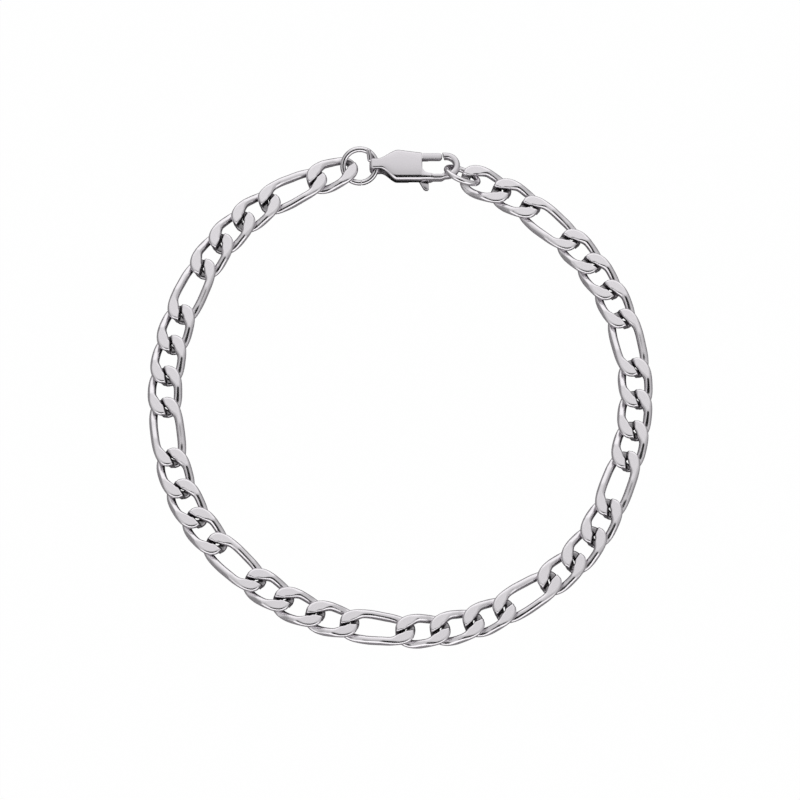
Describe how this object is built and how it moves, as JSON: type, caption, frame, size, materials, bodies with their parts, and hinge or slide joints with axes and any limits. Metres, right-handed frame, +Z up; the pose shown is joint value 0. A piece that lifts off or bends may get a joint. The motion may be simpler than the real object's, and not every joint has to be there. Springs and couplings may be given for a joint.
{
  "type": "link bracelet",
  "caption": "Flattened curb-link chain bracelet with one long link to three short ones, closed by a lobster clasp, lying flat in a loop.",
  "frame": {"origin": "middle of the loop seen from above, on the surface that the bracelet lies on", "axes": "+Z up, +X along the clasp from its eye to its hook, +Y from the loop's middle towards the clasp"},
  "size_m": [0.0696, 0.0742, 0.0044],
  "materials": {
    "links": "polished",
    "rings": "polished",
    "clasp": "polished",
    "lever": "satin"
  },
  "bodies": {
    "bracelet": {"link_01": "links", "link_02": "links", "link_03": "links", "link_04": "links", "link_05": "links", "link_06": "links", "link_07": "links", "link_08": "links", "link_09": "links", "link_10": "links", "link_11": "links", "link_12": "links", "link_13": "links", "link_14": "links", "link_15": "links", "link_16": "links", "link_17": "links", "link_18": "links", "link_19": "links", "link_20": "links", "link_21": "links", "link_22": "links", "link_23": "links", "link_24": "links", "link_25": "links", "link_26": "links", "link_27": "links", "link_28": "links", "link_29": "links", "link_30": "links", "link_31": "links", "link_32": "links", "link_33": "links", "link_34": "links", "link_35": "links", "link_36": "links", "jump_ring": "rings", "end_ring": "rings", "clasp_body": "clasp", "clasp_pin": "lever"},
    "lever": {"clasp_lever": "lever"}
  },
  "joints": [
    {"name": "lever_hinge", "type": "hinge", "parent": "bracelet", "child": "lever", "pos_m": [0.00189, 0.03438, 0.001], "axis": [0, 0, 1], "range_deg": [-24, 0], "stiffness_Nm_per_rad": 0.004, "springref_deg": 11.46}
  ]
}
